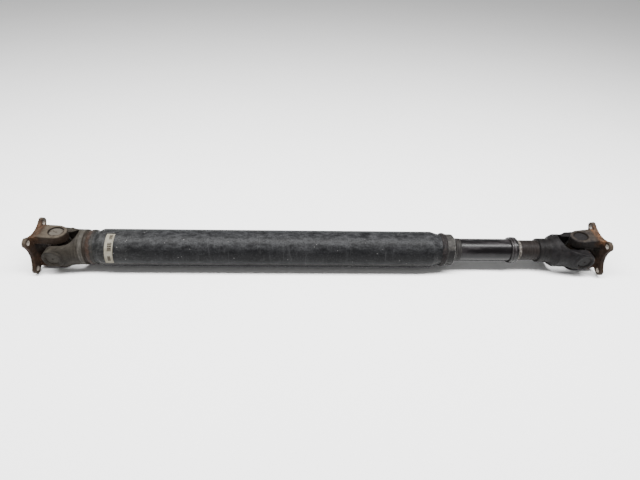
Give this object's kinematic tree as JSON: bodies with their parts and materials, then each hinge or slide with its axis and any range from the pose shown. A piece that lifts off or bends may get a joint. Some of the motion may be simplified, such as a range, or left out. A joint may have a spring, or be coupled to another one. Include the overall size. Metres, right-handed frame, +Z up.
{
  "type": "universal joint shaft",
  "caption": "Tubular drive shaft with a cardan universal joint and lobed bolt flange at each end, and a sealed sliding spline at one end.",
  "frame": {"origin": "centre of the bounding box's bottom, on the floor the shaft lies on, below the middle of the tube's axis", "axes": "+X along the shaft from the fixed fork to the sliding fork, +Z up, +Y across"},
  "size_m": [1.1991, 0.0886, 0.0934],
  "materials": {
    "tube_paint": "worn blue-black paint, dusty",
    "weld": "rusted weld bead",
    "end_piece": "glossy black paint, dusty at the weld",
    "cap_black": "glossy black pressed steel",
    "seal_rubber": "black nitrile rubber",
    "yoke_bare": "bare forged steel, dirty grey-brown",
    "yoke_black": "matt black forged steel",
    "flange_rust": "rusty forged steel",
    "cross_steel": "dirty ground steel",
    "cup_steel": "bright ground steel, stained",
    "roller_steel": "bright steel",
    "spring_steel": "dark spring steel",
    "brass": "zinc-plated steel",
    "paper": "pasted paper strip"
  },
  "bodies": {
    "shaft": {"main_tube": "tube_paint", "left_weld_bead": "weld", "right_weld_bead": "weld", "spline_sleeve": "end_piece", "grease_core_plug": "cross_steel", "dust_seal_cap": "cap_black", "slip_seal_ring": "seal_rubber", "left_tube_yoke": "yoke_bare", "paper_label": "paper", "left_cup_front": "cup_steel", "left_cup_back": "cup_steel", "left_yoke_needles": "roller_steel", "left_yoke_thrust_washers": "roller_steel", "left_yoke_seals": "seal_rubber", "left_yoke_snap_rings": "spring_steel"},
    "left_spider": {"left_cross": "cross_steel", "left_grease_nipple": "brass"},
    "left_flange": {"left_flange_yoke": "flange_rust", "left_cup_top": "cup_steel", "left_cup_bottom": "cup_steel", "left_flange_needles": "roller_steel", "left_flange_thrust_washers": "roller_steel", "left_flange_seals": "seal_rubber", "left_flange_snap_rings": "spring_steel"},
    "slip_fork": {"slip_yoke": "yoke_black", "right_cup_front": "cup_steel", "right_cup_back": "cup_steel", "right_yoke_needles": "roller_steel", "right_yoke_thrust_washers": "roller_steel", "right_yoke_seals": "seal_rubber", "right_yoke_snap_rings": "spring_steel"},
    "right_spider": {"right_cross": "cross_steel", "right_grease_nipple": "brass"},
    "right_flange": {"right_flange_yoke": "flange_rust", "right_cup_top": "cup_steel", "right_cup_bottom": "cup_steel", "right_flange_needles": "roller_steel", "right_flange_thrust_washers": "roller_steel", "right_flange_seals": "seal_rubber", "right_flange_snap_rings": "spring_steel"}
  },
  "joints": [
    {"name": "left_cross_swing", "type": "hinge", "parent": "shaft", "child": "left_spider", "pos_m": [-0.549, 0, 0.0432], "axis": [0, 1, 0], "range_deg": [-24.65, 15.35]},
    {"name": "left_flange_swing", "type": "hinge", "parent": "left_spider", "child": "left_flange", "pos_m": [-0.549, 0, 0.0432], "axis": [0.0811, 0, 0.9967], "range_deg": [-20, 20]},
    {"name": "spline_slide", "type": "slide", "parent": "shaft", "child": "slip_fork", "axis": [1, 0, 0], "range_m": [-0.022, 0.045]},
    {"name": "right_cross_swing", "type": "hinge", "parent": "slip_fork", "child": "right_spider", "pos_m": [0.549, 0, 0.0432], "axis": [0, 1, 0], "range_deg": [-12, 28]},
    {"name": "right_flange_swing", "type": "hinge", "parent": "right_spider", "child": "right_flange", "pos_m": [0.549, 0, 0.0432], "axis": [-0.1392, 0, 0.9903], "range_deg": [-20, 20]}
  ]
}
